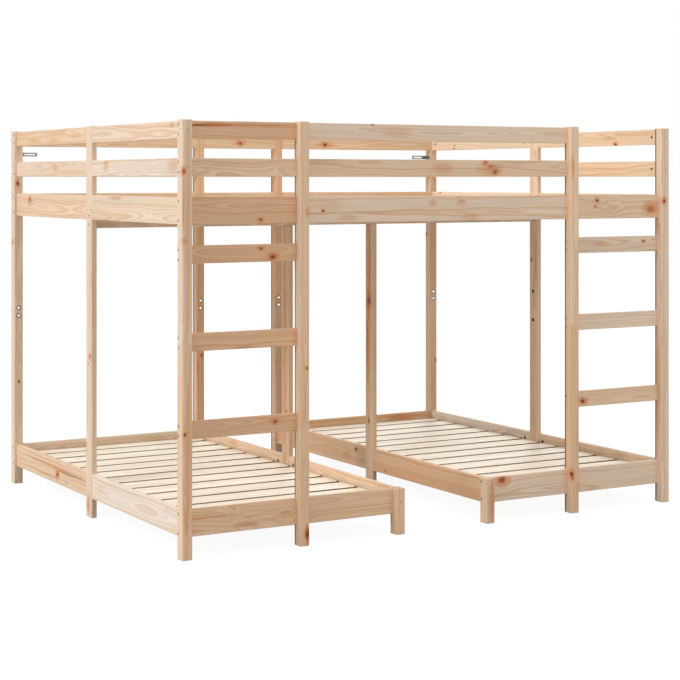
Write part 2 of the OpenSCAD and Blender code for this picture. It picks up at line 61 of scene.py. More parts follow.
def plug(tree, node, inputs):
    """Fills a node's inputs, by name or number, each with a value or with another node's output."""
    for name, value in dict(inputs).items():
        if isinstance(value, bpy.types.NodeSocket):
            tree.links.new(value, node.inputs[name])
        else:
            node.inputs[name].default_value = value
    return node


def add_node(tree, kind, inputs=(), **settings):
    """A new node with its settings and its inputs."""
    made = tree.nodes.new(kind)
    for name, value in settings.items():
        setattr(made, name, value)
    return plug(tree, made, inputs)


def calc(tree, operation, *values):
    """One step of arithmetic on numbers."""
    return add_node(tree, "ShaderNodeMath", dict(enumerate(values)), operation=operation).outputs[0]


def split(tree, point):
    """The three parts of a point, a direction or a colour."""
    return add_node(tree, "ShaderNodeSeparateXYZ", {0: point}).outputs


def srgb(red, green, blue):
    """A colour as it is seen on a screen, 0 to 255, turned into the amounts of light that Blender uses."""
    seen = [part / 255 for part in (red, green, blue)]
    return [s / 12.92 if s <= 0.04045 else ((s + 0.055) / 1.055) ** 2.4 for s in seen] + [1.0]


def new_material(name):
    """A material with an empty tree."""
    made = bpy.data.materials.new(name)
    made.use_nodes = True
    made.node_tree.nodes.clear()
    return made


def end_in_backdrop(tree, kind, lights, shows):
    """Ends a tree in one shader for the light on the bed and another for what is seen of the room."""
    path = add_node(tree, "ShaderNodeLightPath").outputs
    seen = calc(tree, "MAXIMUM", path["Is Camera Ray"], path["Is Glossy Ray"])
    seen = calc(tree, "MAXIMUM", seen, path["Is Transmission Ray"])
    both = add_node(tree, "ShaderNodeMixShader", {0: seen, 1: lights.outputs[0], 2: shows.outputs[0]})
    add_node(tree, kind, {0: both.outputs[0]})


white = (1, 1, 1, 1)
horizon_light = 0.3
sky = bpy.data.worlds.new("soft room")
sky.use_nodes = True
sky_tree = sky.node_tree
sky_tree.nodes.clear()
up = split(sky_tree, add_node(sky_tree, "ShaderNodeTexCoord").outputs["Generated"])[2]
overhead = add_node(sky_tree, "ShaderNodeMapRange", {"Value": up, "To Min": horizon_light}).outputs[0]
ambient = add_node(sky_tree, "ShaderNodeBackground", {"Color": white, "Strength": overhead})
backdrop = add_node(sky_tree, "ShaderNodeBackground", {"Color": white, "Strength": 1.0})
end_in_backdrop(sky_tree, "ShaderNodeOutputWorld", ambient, backdrop)
bpy.context.scene.world = sky

bed_middle = Vector((0, 0, 0.8))


def lamp(name, place, watts, size=3.5, colour=(1, 1, 1)):
    """A square soft box that faces the middle of the bed."""
    light = bpy.data.lights.new(name, "AREA")
    light.shape = "SQUARE"
    light.size = size
    light.energy = watts
    light.color = colour
    held = bpy.data.objects.new(name, light)
    held.location = place
    held.rotation_euler = (bed_middle - held.location).to_track_quat("-Z", "Y").to_euler()
    bpy.context.scene.collection.objects.link(held)


lamp("key", (-14.0, -1.5, 9.5), 1175, 5.0, (0.97, 1.0, 1.06))
lamp("low left", (-14.0, -1.5, 2.5), 180)
lamp("front", (0.5, -9.0, 9.0), 185)
lamp("low front", (5.0, -8.5, 1.5), 42)
lamp("back", (6.0, 8.0, 5.0), 170)

reach = 14.0
floor_drop = 0.0005
floor_mesh = bpy.data.meshes.new("floor")
floor_mesh.from_pydata([(-reach, -reach, 0), (reach, -reach, 0), (reach, reach, 0), (-reach, reach, 0)],
                       [], [(0, 1, 2, 3)])
floor = bpy.data.objects.new("floor", floor_mesh)
floor.location.z = -floor_drop
bpy.context.scene.collection.objects.link(floor)
paint = new_material("pale floor")
paint_tree = paint.node_tree
lit = add_node(paint_tree, "ShaderNodeBsdfDiffuse", {"Color": srgb(182, 182, 182)})
shaded = add_node(paint_tree, "ShaderNodeBsdfDiffuse", {"Color": srgb(100, 100, 100)})
glow = add_node(paint_tree, "ShaderNodeEmission", {"Color": white, "Strength": 0.92})
glowing = add_node(paint_tree, "ShaderNodeAddShader", {0: shaded.outputs[0], 1: glow.outputs[0]})
end_in_backdrop(paint_tree, "ShaderNodeOutputMaterial", lit, glowing)
floor_mesh.materials.append(paint)

# Posts: eight tall posts of knotty pine, planed square, each in two lengths that stand end to end on
# dowels, and two short legs at the aisle. Feet and tops are chamfered, and the wood is clear matt lacquered.
def node_group(name, takes, gives, family="ShaderNodeTree"):
    """An empty group of nodes with named inputs and outputs, and the node that holds its inputs."""
    tree = bpy.data.node_groups.new(name, family)
    for way, sockets in (("INPUT", takes), ("OUTPUT", gives)):
        for title, kind in sockets.items():
            tree.interface.new_socket(name=title, in_out=way, socket_type="NodeSocket" + kind)
    return tree, add_node(tree, "NodeGroupInput").outputs


def group_node(tree, group, inputs):
    """The outputs of a group that is put in a tree."""
    return add_node(tree, "ShaderNodeGroup", inputs, node_tree=group).outputs


def vector(tree, operation, *values, gives=0):
    """One step of arithmetic on points or directions."""
    return add_node(tree, "ShaderNodeVectorMath", dict(enumerate(values)), operation=operation).outputs[gives]


def scale(tree, point, factor):
    """A point or a colour times a number."""
    return add_node(tree, "ShaderNodeVectorMath", {0: point, 3: factor}, operation="SCALE").outputs[0]


def join(tree, *parts):
    """A point made of its parts."""
    return add_node(tree, "ShaderNodeCombineXYZ", dict(enumerate(parts))).outputs[0]


def ease(tree, value, low, high):
    """0 below low, 1 above high, and smooth between them."""
    return add_node(tree, "ShaderNodeMapRange", {"Value": value, "From Min": low, "From Max": high},
                    interpolation_type="SMOOTHSTEP").outputs[0]


def mix(tree, share, first, second, way="MIX"):
    """Two colours mixed, or the first times the second, by a share from 0 to 1."""
    return add_node(tree, "ShaderNodeMix", {0: share, 6: first, 7: second},
                    data_type="RGBA", blend_type=way).outputs[2]


def noise(tree, point, stretch, seed, detail=0.0):
    """Soft noise on a point in metres, with so many swells to the metre along each axis: value and colour."""
    return add_node(tree, "ShaderNodeTexNoise", {"Vector": vector(tree, "MULTIPLY", point, stretch),
                                                 "W": seed, "Scale": 1.0, "Detail": detail},
                    noise_dimensions="4D").outputs


def swell(tree, years):
    """Soft noise from one year of the wood to the next."""
    return add_node(tree, "ShaderNodeTexNoise", {"W": years, "Scale": 1.0, "Detail": 1.0},
                    noise_dimensions="1D").outputs[0]


def luck(tree, seed):
    """Chance numbers drawn by a seed, as a value and as a colour."""
    return add_node(tree, "ShaderNodeTexWhiteNoise", {"W": seed}, noise_dimensions="1D").outputs


def make_knot():
    """A branch grown into the board: how far it bends the grain, its core and rim, and the stain round it."""
    tree, given = node_group("pine knot", {"Offset": "Vector", "Radius": "Float"},
                             {"Bend": "Float", "Core": "Float", "Halo": "Float", "Rim": "Float"})
    squeeze = (0.72, 1.0, 0.6)
    least_radius = 0.0012
    there = calc(tree, "GREATER_THAN", given["Radius"], least_radius)
    radius = calc(tree, "MAXIMUM", given["Radius"], least_radius)
    across = split(tree, given["Offset"])[1]
    away = vector(tree, "LENGTH", vector(tree, "MULTIPLY", given["Offset"], squeeze), gives="Value")
    push = calc(tree, "POWER", calc(tree, "DIVIDE", radius, calc(tree, "MAXIMUM", away, radius)), 2.0)
    bend = calc(tree, "MULTIPLY", calc(tree, "MULTIPLY", across, push), calc(tree, "MULTIPLY", there, 1.3))
    ragged = noise(tree, given["Offset"], (70, 120, 120), calc(tree, "MULTIPLY", radius, 900.0), 2.0)[0]
    share = calc(tree, "MULTIPLY", calc(tree, "DIVIDE", away, radius),
                 calc(tree, "MULTIPLY_ADD", ragged, 1.5, 0.25))
    core = calc(tree, "MULTIPLY", there, ease(tree, share, 0.95, 0.42))
    halo = calc(tree, "MULTIPLY", there, calc(tree, "POWER", ease(tree, share, 2.5, 0.5), 1.4))
    rim = ease(tree, share, 0.15, 0.75)
    add_node(tree, "NodeGroupOutput", {"Bend": bend, "Core": core, "Halo": halo, "Rim": rim})
    return tree


def make_streak():
    """A soft reddish streak of resin or heartwood, longer along the grain."""
    tree, given = node_group(
        "resin streak", {"Offset": "Vector", "Length": "Float", "Width": "Float", "Strength": "Float"},
        {"Stain": "Float"})
    sizes = join(tree, given["Length"], given["Width"], given["Width"])
    away = vector(tree, "LENGTH", vector(tree, "DIVIDE", given["Offset"], sizes), gives="Value")
    ragged = noise(tree, given["Offset"], (14, 160, 160), 0.0, 1.0)[0]
    edge = calc(tree, "MULTIPLY_ADD", calc(tree, "SUBTRACT", ragged, 0.5), 0.9, away)
    stain = calc(tree, "MULTIPLY", ease(tree, edge, 1.15, 0.35), given["Strength"])
    add_node(tree, "NodeGroupOutput", {"Stain": stain})
    return tree


knot_nodes = make_knot()
streak_nodes = make_streak()


def own_knot(tree, point, seed, share):
    """The knots that a board has of its own, at most one in each stretch of it."""
    stretch = (0.26, 0.10, 0.10)
    rarity = 0.55
    growth = 0.022
    cells = vector(tree, "ADD", vector(tree, "DIVIDE", point, stretch), scale(tree, (3.17, 7.31, 5.73), seed))
    grown = add_node(tree, "ShaderNodeTexVoronoi", {"Vector": cells, "Scale": 1.0, "Randomness": 0.9},
                     voronoi_dimensions="3D").outputs
    offset = vector(tree, "MULTIPLY", vector(tree, "SUBTRACT", cells, grown["Position"]), stretch)
    chance = calc(tree, "SUBTRACT", split(tree, grown["Color"])[0], rarity)
    radius = calc(tree, "MULTIPLY", calc(tree, "MAXIMUM", chance, 0.0), calc(tree, "MULTIPLY", share, growth))
    return group_node(tree, knot_nodes, {"Offset": offset, "Radius": radius})


def year_rings(tree, point, seed, bend):
    """How late in its year each place grew, and the spells of richer years.

    The rings lie round the heart of the log, which tapers and isn't quite straight.
    """
    year = 0.0046
    drawn = split(tree, luck(tree, seed)["Color"])
    sway = vector(tree, "SUBTRACT", noise(tree, point, (2.2, 5, 5), seed, 1.0)[1], (0.5, 0.5, 0.5))
    swayed = split(tree, vector(tree, "MULTIPLY_ADD", sway, (0.0, 0.045, 0.028), point))
    across = calc(tree, "SUBTRACT", calc(tree, "SUBTRACT", swayed[1], bend),
                  calc(tree, "MULTIPLY_ADD", drawn[0], 0.08, -0.04))
    through = calc(tree, "ADD", swayed[2], calc(tree, "MULTIPLY_ADD", drawn[1], 0.06, 0.03))
    away = vector(tree, "LENGTH", join(tree, across, through), gives="Value")
    taper = calc(tree, "MULTIPLY", swayed[0], calc(tree, "MULTIPLY_ADD", drawn[2], 0.03, -0.015))
    years = calc(tree, "DIVIDE", calc(tree, "ADD", away, taper), year)
    pace = swell(tree, calc(tree, "MULTIPLY_ADD", years, 0.35, seed))
    years = calc(tree, "MULTIPLY_ADD", pace, 2.4, years)
    spell = swell(tree, calc(tree, "MULTIPLY_ADD", years, 0.33, calc(tree, "ADD", seed, 40.0)))
    part = calc(tree, "FRACT", years)
    good_year = luck(tree, calc(tree, "FLOOR", years))["Value"]
    season = calc(tree, "MULTIPLY", ease(tree, part, 0.25, 0.88), ease(tree, part, 1.0, 0.93))
    late = calc(tree, "MULTIPLY", season, calc(tree, "MULTIPLY_ADD", good_year, 0.6, 0.4))
    return late, spell


early_wood = srgb(230, 206, 180)
late_wood = srgb(199, 153, 116)
knot_heart = srgb(100, 40, 24)
knot_rim = srgb(180, 88, 50)
# Dark brown of resin streaks, also used as painted shade in recesses, round fasteners' ends and along back
# edges
resin_and_painted_shade = srgb(92, 66, 50)
rich_years = (0.90, 0.76, 0.60, 1)
ochre = (0.96, 0.80, 0.50, 1)
resin_red = (0.84, 0.50, 0.29, 1)
knot_stain = (0.89, 0.56, 0.34, 1)


def make_pine():
    """Pine sawn some way off the heart of the log: year rings, knots, fibres and broad changes of tone.

    Point is in metres in the board: along the grain, across its face and through its thickness.
    """
    tree, given = node_group(
        "knotty pine",
        {"Point": "Vector", "Seed": "Float", "Tint": "Color", "End": "Float", "Knots": "Float",
         "Bend": "Float", "Core": "Float", "Halo": "Float", "Rim": "Float", "Stain": "Float",
         "Ochre": "Float", "Dark Resin And Painted Shade": "Float"},
        {"Color": "Color", "Roughness": "Float", "Height": "Float"})
    point, seed = given["Point"], given["Seed"]
    knot = own_knot(tree, point, seed, given["Knots"])
    core = calc(tree, "MAXIMUM", knot["Core"], given["Core"])
    halo = calc(tree, "MAXIMUM", knot["Halo"], given["Halo"])
    rim = calc(tree, "MINIMUM", knot["Rim"], given["Rim"])
    late, spell = year_rings(tree, point, seed, calc(tree, "ADD", knot["Bend"], given["Bend"]))
    # Colour of the rings, lighter and darker with the fibres, along the board and on its sawn ends
    wood = mix(tree, calc(tree, "MULTIPLY", late, 0.55), early_wood, late_wood)
    rich = calc(tree, "MULTIPLY", ease(tree, spell, 0.50, 0.68), 0.55)
    wood = mix(tree, rich, wood, rich_years, "MULTIPLY")
    wood = mix(tree, 1.0, wood, given["Tint"], "MULTIPLY")
    fibre = calc(tree, "SUBTRACT", noise(tree, point, (7, 420, 420), seed, 2.0)[0], 0.5)
    broad = noise(tree, point, (1.4, 14, 14), calc(tree, "ADD", seed, 5.0), 1.0)[0]
    shade = calc(tree, "MULTIPLY_ADD", fibre, 0.16, 1.0)
    shade = calc(tree, "MULTIPLY_ADD", calc(tree, "SUBTRACT", broad, 0.5), 0.22, shade)
    shade = calc(tree, "MULTIPLY_ADD", given["End"], -0.14, shade)
    wood = scale(tree, wood, shade)
    # Stains and knots over it, then dark resin and painted shade in recesses, round fasteners' ends and along
    # back edges
    wood = mix(tree, given["Ochre"], wood, ochre, "MULTIPLY")
    wood = mix(tree, given["Stain"], wood, resin_red, "MULTIPLY")
    wood = mix(tree, calc(tree, "MULTIPLY", halo, 0.9), wood, knot_stain, "MULTIPLY")
    wood = mix(tree, core, wood, mix(tree, rim, knot_heart, knot_rim))
    wood = mix(tree, given["Dark Resin And Painted Shade"], wood, resin_and_painted_shade)
    rough = calc(tree, "MULTIPLY_ADD", late, -0.10, 0.58)
    rough = calc(tree, "MULTIPLY_ADD", fibre, 0.15, rough)
    rough = calc(tree, "MULTIPLY_ADD", given["End"], 0.2, rough)
    height = calc(tree, "MULTIPLY_ADD", fibre, 0.5, late)
    height = calc(tree, "MULTIPLY_ADD", core, 1.5, height)
    add_node(tree, "NodeGroupOutput", {"Color": wood, "Roughness": rough, "Height": height})
    return tree


pine_nodes = make_pine()


def finish_wood(tree, inputs):
    """The lacquered surface over the wood: every wooden piece ends in this."""
    wood = group_node(tree, pine_nodes, inputs)
    relief = add_node(tree, "ShaderNodeBump",
                      {"Strength": 0.35, "Distance": 0.0003, "Height": wood["Height"]})
    surface = add_node(tree, "ShaderNodeBsdfPrincipled", {
        "Base Color": wood["Color"], "Roughness": wood["Roughness"], "Specular IOR Level": 0.35,
        "Coat Weight": 0.1, "Coat Roughness": 0.35, "Normal": relief.outputs[0]})
    add_node(tree, "ShaderNodeOutputMaterial", {0: surface.outputs[0]})


tones = {"chalk": (1.06, 1.17, 1.32, 1), "milk": (0.99, 1.06, 1.15, 1), "pale": (1.04, 1.05, 1.07, 1),
         "straw": (1.0, 1.0, 1.0, 1), "wheat": (1.03, 0.97, 0.90, 1), "honey": (0.99, 0.93, 0.85, 1),
         "barley": (1.01, 0.89, 0.77, 1), "dun": (0.88, 0.80, 0.71, 1), "amber": (0.96, 0.81, 0.66, 1),
         "copper": (0.91, 0.735, 0.60, 1)}


def stretches(name, axis):
    """The stretches of one axis that a node's boards fill, found from its triangles."""
    touching = 0.002
    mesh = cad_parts[name].data
    mesh.calc_loop_triangles()
    place = np.array([corner.co[axis] for corner in mesh.vertices])
    ends = place[np.array([list(triangle.vertices) for triangle in mesh.loop_triangles])]
    found = []
    for low, high in sorted(zip(ends.min(1), ends.max(1))):
        if found and low < found[-1][1] + touching:
            found[-1][1] = max(found[-1][1], high)
        else:
            found.append([low, high])
    return found


@functools.lru_cache(maxsize=None)
def solids(name):
    """The separate solids of a CAD node, each as the places of its corners."""
    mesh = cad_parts[name].data
    mesh.calc_loop_triangles()
    places = np.array([corner.co for corner in mesh.vertices])
    same = np.unique(np.round(places * 1e5).astype(int), axis=0, return_inverse=True)[1].ravel()
    leader = list(range(same.max() + 1))

    def lead(i):
        while leader[i] != i:
            leader[i] = leader[leader[i]]
            i = leader[i]
        return i

    for triangle in mesh.loop_triangles:
        a, b, c = (lead(same[i]) for i in triangle.vertices)
        leader[b] = leader[c] = a
    groups = {}
    for place, i in zip(places, same):
        groups.setdefault(lead(i), []).append(place)
    return [np.array(group) for group in groups.values()]


def painted_shade_rims(name, fastener, radius, share):
    """Rings of painted shade round the ends of round fasteners that lie in a node's faces."""
    near = 0.003
    slack = 0.002
    low, high = (np.array(corner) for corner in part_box(name))
    found = []
    for corners in solids(fastener):
        least, most = corners.min(0), corners.max(0)
        axis = 0 if fastener == "barrel_nuts" else int(np.argmax(most - least))
        for side in (least[axis], most[axis]):
            place = (least + most) / 2
            place[axis] = side
            within = np.all(place > low - slack) and np.all(place < high + slack)
            if within and min(abs(side - low[axis]), abs(side - high[axis])) < near:
                found.append((*place, radius, share))
    return found


def board_by_board(tree, name, axes, place):
    """Where a point is in its own board, the board's number, and how many boards the node has."""
    inside, number, count = [], 0.0, 1
    for axis in axes:
        spans = stretches(name, axis)
        middles = [(low + high) / 2 for low, high in spans]
        middle = middles[0]
        for i in range(1, len(spans)):
            past = calc(tree, "GREATER_THAN", place[axis], (spans[i - 1][1] + spans[i][0]) / 2)
            middle = calc(tree, "MULTIPLY_ADD", past, middles[i] - middles[i - 1], middle)
            number = calc(tree, "MULTIPLY_ADD", past, float(count), number)
        inside.append(calc(tree, "SUBTRACT", place[axis], middle))
        count *= len(spans)
    return join(tree, *inside), number, count


def tone_of(tree, boards, number, count):
    """The tone of the board that a point is in."""
    if len(boards) == 1:
        return tones[boards[0]]
    ramp = add_node(tree, "ShaderNodeValToRGB", {0: calc(
        tree, "DIVIDE", calc(tree, "ADD", number, 0.5), float(count))})
    bands = ramp.color_ramp
    bands.interpolation = "CONSTANT"
    bands.elements.remove(bands.elements[1])
    bands.elements[0].color = tones[boards[0]]
    for i in range(1, count):
        bands.elements.new(i / count).color = tones[boards[i % len(boards)]]
    return ramp.outputs[0]


def pine(name, order, boards=("straw",), seed=0.0, own_knots=1.0, knots=(), streaks=(),
         recesses=(), ends=(), shaded_edge=0.0):
    """Knotty pine on a CAD node. order names the axes along, across and through the boards.

    boards are their tones, counted along, then across, then through. seed draws their grain, and own_knots
    is how large the knots are that it strews. The rest is placed one by one, in metres: knots are places and
    radii and, where the core is faint, its share, down to 0 where the grain only bends. streaks are places,
    lengths, widths and strengths, and "ochre" makes one yellow and "resin" dark. recesses are places, radii
    and shares of painted shade. ends names a kind of fastener, the radius of the ring of painted shade round
    its ends and the ring's share. shaded_edge is how wide the painted shade is along the back of the left
    face.
    """
    made = new_material(name)
    tree = made.node_tree
    seen = add_node(tree, "ShaderNodeTexCoord").outputs
    place = split(tree, seen["Object"])
    faces = split(tree, seen["Normal"])
    axes = ["xyz".index(letter) for letter in order]
    point, number, count = board_by_board(tree, name, axes, place)
    along = join(tree, *(place[axis] for axis in axes))
    inputs = {"Point": point, "Seed": calc(tree, "MULTIPLY_ADD", number, 1.37, seed),
              "Tint": tone_of(tree, boards, number, count), "Knots": own_knots, "Rim": 1.0,
              "End": ease(tree, calc(tree, "ABSOLUTE", faces[axes[0]]), 0.6, 0.9)}

    def from_spot(spot):
        return vector(tree, "SUBTRACT", along, [spot[axis] for axis in axes])

    def gather(title, way, value):
        inputs[title] = calc(tree, way, inputs.get(title, 0.0), value)

    for spot in knots:
        grown = dict(group_node(tree, knot_nodes, {"Offset": from_spot(spot), "Radius": spot[3]}).items())
        if len(spot) > 4:
            grown["Core"] = calc(tree, "MULTIPLY", grown["Core"], spot[4])
            grown["Halo"] = calc(tree, "MULTIPLY", grown["Halo"], min(1.0, 4 * spot[4]))
        for title, way in (("Bend", "ADD"), ("Core", "MAXIMUM"), ("Halo", "MAXIMUM"), ("Rim", "MINIMUM")):
            gather(title, way, grown[title])
    for spot in streaks:
        stain = group_node(tree, streak_nodes, {"Offset": from_spot(spot), "Length": spot[3],
                                                "Width": spot[4], "Strength": spot[5]})["Stain"]
        gather("Ochre" if "ochre" in spot else "Stain", "MAXIMUM", stain)
        if "resin" in spot:
            gather("Dark Resin And Painted Shade", "MAXIMUM", calc(tree, "MULTIPLY", calc(tree, "MINIMUM", stain, 1.0), 0.5))
    # Painted shade in recesses and in rings round the ends of fasteners
    for spot in [*recesses, *(painted_shade_rims(name, *ends) if ends else ())]:
        away = vector(tree, "LENGTH", vector(tree, "SUBTRACT", seen["Object"], spot[:3]), gives="Value")
        inside = ease(tree, calc(tree, "DIVIDE", away, spot[3]), 1.06, 0.98)
        gather("Dark Resin And Painted Shade", "MAXIMUM", calc(tree, "MULTIPLY", inside, spot[4]))
    # Painted shade in a band along the back of the left face
    if shaded_edge:
        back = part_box(name)[1].y
        band = calc(tree, "MULTIPLY", ease(tree, place[1], back - shaded_edge, back - shaded_edge / 3),
                    ease(tree, calc(tree, "MULTIPLY", faces[0], -1.0), 0.6, 0.9))
        gather("Dark Resin And Painted Shade", "MAXIMUM", band)
    finish_wood(tree, inputs)
    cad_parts[name].material_slots[0].material = made


# Each post's tone, then its knots and its streaks, most of them in the posts' front faces
post_y = -1.058
back_y = 1.006
post_looks = {
    "corner_post_front_left_lower": (
        "wheat", [(-1.29, post_y, 0.52, 0.007)],
        [(-1.278, -1.06, 0.45, 0.5, 0.024, 0.45), (-1.301, -1.02, 0.62, 0.3, 0.012, 0.4)]),
    "corner_post_front_left_upper": (
        "straw", [(-1.294, post_y, 1.605, 0.011, 0.7), (-1.29, post_y, 1.318, 0.010, 0.15)],
        [(-1.278, -1.06, 1.35, 0.6, 0.022, 0.3), (-1.296, post_y, 1.47, 0.17, 0.007, 0.8)]),
    "ladder_post_left_lower": (
        "barley", [(-0.716, post_y, 0.763, 0.006), (-0.713, post_y, 0.051, 0.012)],
        [(-0.713, post_y, 0.051, 0.05, 0.014, 1.6), (-0.713, post_y, 0.051, 0.03, 0.008, 1.6, "resin")]),
    "ladder_post_left_upper": ("honey", [(-0.707, post_y, 1.43, 0.012, 0.2)], []),
    "ladder_post_right_lower": (
        "barley", [(0.707, post_y, 0.186, 0.013), (0.71, post_y, 0.166, 0.008, 0.8)], []),
    "ladder_post_right_upper": ("wheat", [], [(0.713, post_y, 1.628, 0.07, 0.012, 0.7)]),
    "corner_post_front_right_lower": ("pale", [], [(1.255, -1.03, 0.55, 0.4, 0.018, 0.75)]),
    "corner_post_front_right_upper": (
        "pale", [(1.27, post_y, 1.466, 0.011)], [(1.255, -1.03, 1.35, 0.05, 0.016, 0.6)]),
    "corner_post_back_left_lower": ("straw", [(-1.277, back_y, 0.526, 0.007)], []),
    "corner_post_back_left_upper": (
        "straw", [(-1.283, back_y, 1.549, 0.010), (-1.301, 1.032, 1.247, 0.009, 0.3)], []),
    "corner_post_back_right_lower": (
        "honey", [(1.295, back_y, 0.501, 0.008)], [(1.278, 1.0, 0.4, 0.5, 0.026, 0.4)]),
    "corner_post_back_right_upper": (
        "honey", [(1.255, 1.049, 1.247, 0.008)], [(1.278, 1.0, 1.2, 0.5, 0.026, 0.4)]),
    "inner_post_back_left_lower": (
        "copper", [(-0.234, back_y, 0.607, 0.007), (-0.276, back_y, 0.393, 0.008)],
        [(-0.261, back_y, 0.543, 0.05, 0.01, 0.7)]),
    "inner_post_back_left_upper": ("amber", [], []),
    "inner_post_back_right_lower": ("dun", [], [(0.255, back_y, 0.5, 0.4, 0.03, 0.3)]),
    "inner_post_back_right_upper": ("copper", [], []),
    "bed_leg_left": ("barley", [], []),
    "bed_leg_right": ("honey", [], [(0.25, -1.06, 0.1, 0.12, 0.024, 0.7)])}
# Painted shade: in the round recesses round the back posts' cams, in rings round the screws' heads, and in a
# band along the back of the left faces of the ladder posts, the front right corner post and the inner posts
joint_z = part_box("inner_post_back_left_lower")[1].z
cam_off = 0.020
recess_r = 0.012
recess_depth = 0.002
edge_w = 0.016
shaded_posts = ("ladder_post", "corner_post_front_right", "inner_post")
screw_ends = ("connecting_screws", 0.0070, 0.45)
for number, (name, (tone, knots, streaks)) in enumerate(post_looks.items()):
    low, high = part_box(name)
    cam_places = [((low.x + high.x) / 2, low.y + recess_depth, joint_z + way * cam_off)
                  for way in (-1, 1) if "_back_" in name]
    pine(name, "zxy", (tone,), seed=11.0 + 2.3 * number, own_knots=0.3, knots=knots, streaks=streaks,
         recesses=[(*place, recess_r, 1.0) for place in cam_places], ends=screw_ends,
         shaded_edge=edge_w if name.startswith(shaded_posts) else 0.0)

# Boards of the mid line: two flat side boards of the same pine, each in two lengths that meet on a loose
# tongue, and two inner boards in one length under the cross beam. The tongues' screws sit in round
# recesses in the side boards' inner faces.
# The wide streaks over the left faces of the inner boards and of the right side board, under the deck, darken
# them as heartwood colour and painted shade together
board_looks = {
    "inner_board_left": ("dun", [(-0.255, -0.01, 0.423, 0.008)], [(-0.256, 0.005, 0.7, 0.8, 0.034, 0.6)]),
    "inner_board_right": (
        "honey", [(0.229, 0.0, 0.951, 0.021), (0.229, 0.0, 0.34, 0.009)],
        [(0.228, 0.006, 0.95, 0.7, 0.036, 0.7), (0.229, 0.004, 0.93, 0.12, 0.018, 1.4),
         (0.229, -0.008, 1.12, 0.22, 0.006, 1.6, "resin"), (0.229, 0.012, 0.72, 0.2, 0.006, 1.2, "resin")]),
    "side_board_left_lower": (
        "straw", [(-1.291, -0.0135, 0.748, 0.011, 0.8), (-1.291, 0.008, 0.712, 0.005)],
        [(-1.291, 0.005, 0.06, 0.06, 0.02, 1.0)]),
    "side_board_left_upper": ("straw", [], []),
    "side_board_right_lower": ("straw", [], [(1.264, 0.005, 0.5, 0.5, 0.036, 0.3)]),
    "side_board_right_upper": (
        "straw", [(1.265, 0.018, 1.137, 0.009)],
        [(1.264, 0.005, 1.1, 0.28, 0.036, 0.3), (1.265, -0.016, 1.708, 0.03, 0.01, 0.7),
         (1.264, -0.022, 1.15, 0.16, 0.004, 1.4, "resin")])}
# The painted shade in each of the right board's recesses lies off its middle, which leaves a light crescent
shadow_y = 0.040
shadow_r = 0.0095
shadow_heights = (0.812, 0.967)
for number, (name, (tone, knots, streaks)) in enumerate(board_looks.items()):
    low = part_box(name)[0]
    heights = shadow_heights if name.startswith("side_board_right") else ()
    pine(name, "zyx", (tone,), seed=53.0 + 2.3 * number, own_knots=0.3, knots=knots, streaks=streaks,
         recesses=[(low.x, low.y + shadow_y, z, shadow_r, 1.0) for z in heights], ends=screw_ends)

# Cross beam: a bar of pine on edge from side board to side board, resting on the inner boards, and a flat
# cap strip screwed along its top, which carries the slats' ends in the middle of the deck.
pine("cross_beam", "xzy", seed=71.0)
pine("beam_cap", "xyz", seed=73.3)

# Rails of the deck: planed pine boards with rounded edges, two rows of narrow guards over a row of deep
# bed rails. Those along the front and back are screwed to the posts end to end, those of the sides bolted
# to posts and side boards. The dark ends of the bolts' nuts show in the side rails' inner faces, each
# ringed with painted shade.
front_y = -1.03
left_x = -1.289
right_x = 1.267
# Rings of painted shade round the nuts' ends
nut_ends = ("barrel_nuts", 0.0066, 0.8)
pine("front_guard_rails", "xzy", ("honey", "honey", "copper", "pale"), seed=91.0, own_knots=0.0,
     knots=[(-1.20, front_y, 1.585, 0.030, 0.0), (-0.82, front_y, 1.60, 0.022, 0.0),
            (-0.369, front_y, 1.814, 0.006), (0.235, front_y, 1.649, 0.009, 0.5),
            (0.262, front_y, 1.63, 0.008, 0.4), (0.289, front_y, 1.606, 0.012, 0.7)],
     streaks=[(-1.17, front_y, 1.799, 0.13, 0.009, 2.2), (-1.22, front_y, 1.797, 0.07, 0.006, 2.4, "resin"),
              (-0.97, front_y, 1.802, 0.22, 0.006, 0.8), (-0.238, front_y, 1.78, 0.1, 0.03, 0.35),
              (0.0, front_y, 1.62, 0.07, 0.034, 0.5), (0.26, front_y, 1.62, 0.09, 0.036, 0.6)])
pine("front_bed_rails", "xzy", ("copper", "pale", "wheat"), seed=93.0, own_knots=0.0,
     knots=[(-0.925, front_y, 1.401, 0.008), (-0.619, front_y, 1.435, 0.007),
            (-0.052, front_y, 1.468, 0.012, 0.15), (0.1, front_y, 1.472, 0.014, 0.15),
            (0.88, front_y, 1.471, 0.010), (0.87, front_y, 1.441, 0.006, 0.5),
            (1.209, front_y, 1.428, 0.020, 0.4), (0.98, front_y, 1.45, 0.024, 0.0)],
     streaks=[(-0.492, front_y, 1.403, 0.06, 0.02, 0.45), (-0.585, front_y, 1.46, 0.09, 0.03, 0.25),
              (0.15, front_y, 1.4, 0.06, 0.022, 0.45), (1.212, front_y, 1.44, 0.06, 0.036, 0.6)])
pine("back_guard_rails", "xzy", ("honey",), seed=95.0, own_knots=0.3,
     knots=[(0.001, back_y, 1.77, 0.010, 0.8), (0.54, back_y, 1.769, 0.011)],
     streaks=[(0.0, back_y, 1.77, 0.06, 0.02, 0.5), (0.54, back_y, 1.77, 0.08, 0.02, 0.5)])
pine("back_bed_rails", "xzy", ("honey",), seed=97.0, own_knots=0.3)
